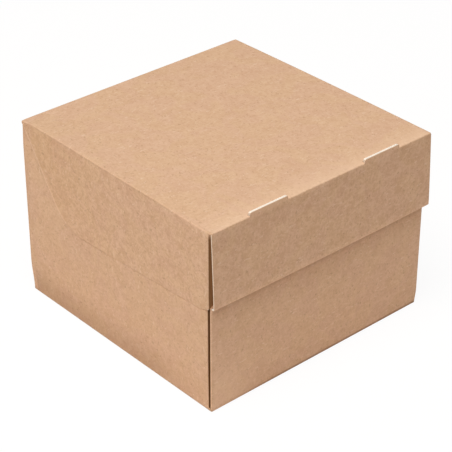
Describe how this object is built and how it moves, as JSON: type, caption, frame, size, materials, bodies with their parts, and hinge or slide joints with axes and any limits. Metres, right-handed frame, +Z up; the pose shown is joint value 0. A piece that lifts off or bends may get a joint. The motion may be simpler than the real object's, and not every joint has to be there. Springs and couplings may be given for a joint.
{
  "type": "hamburger box",
  "caption": "Folded kraft board carry-out box with a hinged lid, locked roll-over front flap and round-cornered side flaps.",
  "frame": {"origin": "on the table, under the middle of the closed box", "axes": "+X along the front from left to right, +Y from the front to the hinge at the back, +Z up"},
  "size_m": [0.1216, 0.1236, 0.0871],
  "materials": {
    "kraft_board": "matte uncoated kraft face, white inside and at the cut edges"
  },
  "bodies": {
    "tray": {"tray": "kraft_board"},
    "lid": {"lid": "kraft_board"}
  },
  "joints": [
    {"name": "lid_hinge", "type": "hinge", "parent": "tray", "child": "lid", "pos_m": [0, 0.06153, 0.08525], "axis": [-1, 0, 0], "range_deg": [0, 180]}
  ]
}
